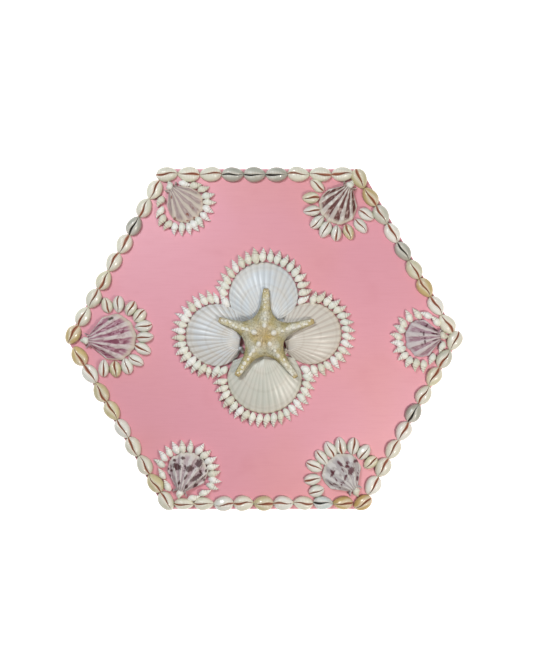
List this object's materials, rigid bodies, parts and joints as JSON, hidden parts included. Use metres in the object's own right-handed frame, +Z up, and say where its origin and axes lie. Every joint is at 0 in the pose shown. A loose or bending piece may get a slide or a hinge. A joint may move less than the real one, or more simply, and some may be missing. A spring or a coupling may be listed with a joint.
{
  "type": "shell box",
  "caption": "Six-sided painted wooden box with a lift-off lid, its top set with cowries, fan shells, scallops, small spiral shells and a starfish.",
  "frame": {"origin": "middle of the box's underside", "axes": "+Z up through the lid, +X to one corner of the hexagon, +Y square to one flat side, which is the upper side in the picture"},
  "size_m": [0.3452, 0.2989, 0.1165],
  "materials": {
    "pink_paint": "matte",
    "cowrie_shell": "satin",
    "fan_shell": "satin",
    "white_shell": "satin",
    "small_shell": "satin",
    "starfish_skin": "matte"
  },
  "bodies": {
    "root": {"box_floor": "pink_paint", "box_wall_n": "pink_paint", "box_wall_ne": "pink_paint", "box_wall_nw": "pink_paint", "box_wall_s": "pink_paint", "box_wall_se": "pink_paint", "box_wall_sw": "pink_paint", "lid_board": "pink_paint", "lid_rim_n": "pink_paint", "lid_rim_ne": "pink_paint", "lid_rim_nw": "pink_paint", "lid_rim_s": "pink_paint", "lid_rim_se": "pink_paint", "lid_rim_sw": "pink_paint", "cowrie_row_n": "cowrie_shell", "cowrie_row_ne": "cowrie_shell", "cowrie_row_nw": "cowrie_shell", "cowrie_row_s": "cowrie_shell", "cowrie_row_se": "cowrie_shell", "cowrie_row_sw": "cowrie_shell", "fan_shell_e": "fan_shell", "fan_shell_ne": "fan_shell", "fan_shell_nw": "fan_shell", "fan_shell_w": "fan_shell", "fan_shell_sw": "fan_shell", "fan_shell_se": "fan_shell", "apex_snail_e": "small_shell", "apex_snail_ne": "small_shell", "apex_snail_nw": "small_shell", "apex_snail_w": "small_shell", "apex_snail_sw": "small_shell", "apex_snail_se": "small_shell", "halo_shells_e": "small_shell", "halo_shells_ne": "cowrie_shell", "halo_shells_nw": "small_shell", "halo_shells_w": "cowrie_shell", "halo_shells_sw": "small_shell", "halo_shells_se": "cowrie_shell", "scallop_n": "white_shell", "scallop_e": "white_shell", "scallop_s": "white_shell", "scallop_w": "white_shell", "spiral_row_n": "small_shell", "spiral_row_e": "small_shell", "spiral_row_s": "small_shell", "spiral_row_w": "small_shell", "starfish": "starfish_skin"}
  },
  "joints": []
}
